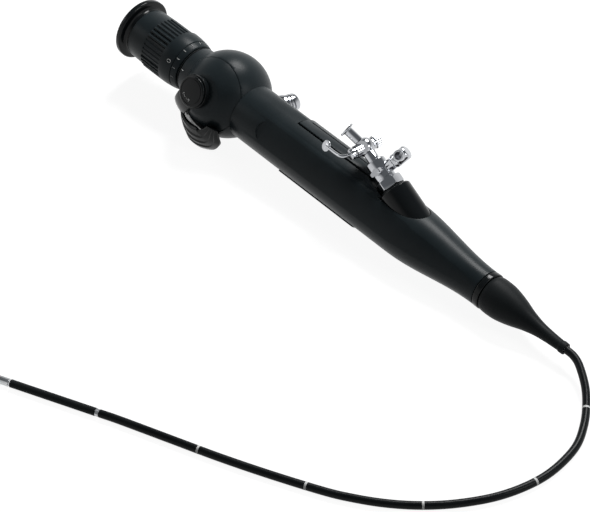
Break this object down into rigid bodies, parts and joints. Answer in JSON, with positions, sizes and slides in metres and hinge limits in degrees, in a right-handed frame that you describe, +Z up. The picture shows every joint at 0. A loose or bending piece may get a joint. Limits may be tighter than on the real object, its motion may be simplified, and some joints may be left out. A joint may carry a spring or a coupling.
{
  "type": "flexible endoscope",
  "caption": "Flexible fibre endoscope: eyepiece with focus ring, ball housing with thumb lever, long grip, light post, angled channel port with taps, boot and bending insertion tube.",
  "frame": {"origin": "on the table under the middle of the handle's bounding box, with the handle lying on its ball housing and grip; the insertion tube isn't counted", "axes": "+X runs along the handle from the eyepiece towards the boot, +Y away from the thumb lever, +Z up"},
  "size_m": [0.3315, 0.2146, 0.0497],
  "materials": {
    "black_satin": "satin black moulding",
    "black_gloss": "gloss black",
    "black_rubber": "matt black",
    "chrome": "polished",
    "steel": "turned steel",
    "aluminium": "plain turned",
    "bronze": "bearing bronze",
    "glass": "coated optical glass",
    "white_polymer": "off-white sheath and tip"
  },
  "bodies": {
    "handle": {"eyepiece_cup": "black_gloss", "ocular_window": "glass", "window_ring": "black_gloss", "eyepiece_tube": "aluminium", "focus_seal": "black_rubber", "ball_housing": "black_satin", "side_cover": "black_satin", "shaft_bushing": "bronze", "handle_shell": "black_satin", "front_pad": "black_rubber", "back_pad": "black_rubber", "chassis": "aluminium", "bulkhead_rear": "aluminium", "bulkhead_front": "aluminium", "bundle_holder": "aluminium", "light_post": "chrome", "light_fibre_face": "glass", "light_bundle": "white_polymer", "image_bundle": "white_polymer", "channel_tube": "white_polymer", "port_boss": "black_gloss", "port_gasket": "black_rubber", "port_nut": "chrome", "adaptor_body": "chrome", "luer_port": "chrome", "suction_branch": "chrome", "boot_ring": "black_gloss", "boot": "black_rubber", "coil_pipe_up": "steel", "coil_pipe_down": "steel", "tube_ferrule": "steel", "insertion_tube": "black_satin", "bending_base": "steel", "bending_rubber": "black_rubber"},
    "thumb_lever": {"deflection_lever": "black_gloss", "hub_cap": "black_gloss", "lever_shaft": "steel", "wire_drum": "steel"},
    "focus": {"focus_ring": "black_satin"},
    "ocular": {"ocular_cell": "aluminium", "ocular_lens_front": "glass", "ocular_lens_rear": "glass", "focus_pin": "steel"},
    "tap": {"tap_plug": "steel", "tap_lever": "chrome", "tap_nut": "chrome"},
    "suction_valve": {"valve_plug": "steel", "wing_key": "chrome"},
    "wire_up": {"pull_wire_up": "steel"},
    "wire_down": {"pull_wire_down": "steel"},
    "link_1": {"bending_link_1": "steel"},
    "link_2": {"bending_link_2": "steel"},
    "link_3": {"bending_link_3": "steel"},
    "link_4": {"bending_link_4": "steel"},
    "link_5": {"bending_link_5": "steel"},
    "link_6": {"bending_link_6": "steel"},
    "link_7": {"bending_link_7": "steel"},
    "tip": {"bending_link_8": "steel", "distal_tip": "white_polymer", "objective_lens": "glass"}
  },
  "joints": [
    {"name": "lever_turn", "type": "hinge", "parent": "handle", "child": "thumb_lever", "pos_m": [-0.08056, -0.01589, 0.03063], "axis": [-0.0281, 0.885, -0.4648], "range_deg": [-20, 20]},
    {"name": "focus_turn", "type": "hinge", "parent": "handle", "child": "focus", "pos_m": [-0.12002, 0.0011, 0.02406], "axis": [0.9982, 0, -0.0603], "range_deg": [-60, 60]},
    {"name": "ocular_slide", "type": "slide", "parent": "handle", "child": "ocular", "axis": [0.9982, 0, -0.0603], "range_m": [-0.0015, 0.0015]},
    {"name": "tap_turn", "type": "hinge", "parent": "handle", "child": "tap", "pos_m": [0.01238, 0.00571, 0.0404], "axis": [0.1283, 0.9889, 0.0744], "range_deg": [0, 90]},
    {"name": "valve_turn", "type": "hinge", "parent": "handle", "child": "suction_valve", "pos_m": [0.0247, 0.00461, 0.03383], "axis": [0.223, -0.8028, 0.553], "range_deg": [0, 90]},
    {"name": "wire_up_slide", "type": "slide", "parent": "handle", "child": "wire_up", "axis": [0.9982, 0, -0.0603], "range_m": [-0.00242, 0.00242]},
    {"name": "wire_down_slide", "type": "slide", "parent": "handle", "child": "wire_down", "axis": [0.9982, 0, -0.0603], "range_m": [-0.00242, 0.00242]},
    {"name": "bend_1", "type": "hinge", "parent": "handle", "child": "link_1", "pos_m": [0.02593, -0.17125, 0.0019], "axis": [0, 0, 1], "range_deg": [-17.5, 17.5], "deforming": ["bending_rubber"]},
    {"name": "bend_2", "type": "hinge", "parent": "link_1", "child": "link_2", "pos_m": [0.02131, -0.17316, 0.0019], "axis": [0, 0, 1], "range_deg": [-17.5, 17.5]},
    {"name": "bend_3", "type": "hinge", "parent": "link_2", "child": "link_3", "pos_m": [0.01669, -0.17507, 0.0019], "axis": [0, 0, 1], "range_deg": [-17.5, 17.5]},
    {"name": "bend_4", "type": "hinge", "parent": "link_3", "child": "link_4", "pos_m": [0.01207, -0.17699, 0.0019], "axis": [0, 0, 1], "range_deg": [-17.5, 17.5]},
    {"name": "bend_5", "type": "hinge", "parent": "link_4", "child": "link_5", "pos_m": [0.00745, -0.1789, 0.0019], "axis": [0, 0, 1], "range_deg": [-17.5, 17.5]},
    {"name": "bend_6", "type": "hinge", "parent": "link_5", "child": "link_6", "pos_m": [0.00283, -0.18081, 0.0019], "axis": [0, 0, 1], "range_deg": [-17.5, 17.5]},
    {"name": "bend_7", "type": "hinge", "parent": "link_6", "child": "link_7", "pos_m": [-0.00179, -0.18273, 0.0019], "axis": [0, 0, 1], "range_deg": [-17.5, 17.5]},
    {"name": "bend_8", "type": "hinge", "parent": "link_7", "child": "tip", "pos_m": [-0.00641, -0.18464, 0.0019], "axis": [0, 0, 1], "range_deg": [-17.5, 17.5]}
  ],
  "couplings": [
    {"joint": "ocular_slide", "follows": "focus_turn", "m_per_rad": 0.0014324},
    {"joint": "wire_up_slide", "follows": "lever_turn", "m_per_rad": 0.00692},
    {"joint": "wire_down_slide", "follows": "lever_turn", "m_per_rad": -0.00692},
    {"joint": "bend_1", "follows": "lever_turn", "ratio": 0.875},
    {"joint": "bend_2", "follows": "lever_turn", "ratio": 0.875},
    {"joint": "bend_3", "follows": "lever_turn", "ratio": 0.875},
    {"joint": "bend_4", "follows": "lever_turn", "ratio": 0.875},
    {"joint": "bend_5", "follows": "lever_turn", "ratio": 0.875},
    {"joint": "bend_6", "follows": "lever_turn", "ratio": 0.875},
    {"joint": "bend_7", "follows": "lever_turn", "ratio": 0.875},
    {"joint": "bend_8", "follows": "lever_turn", "ratio": 0.875}
  ]
}
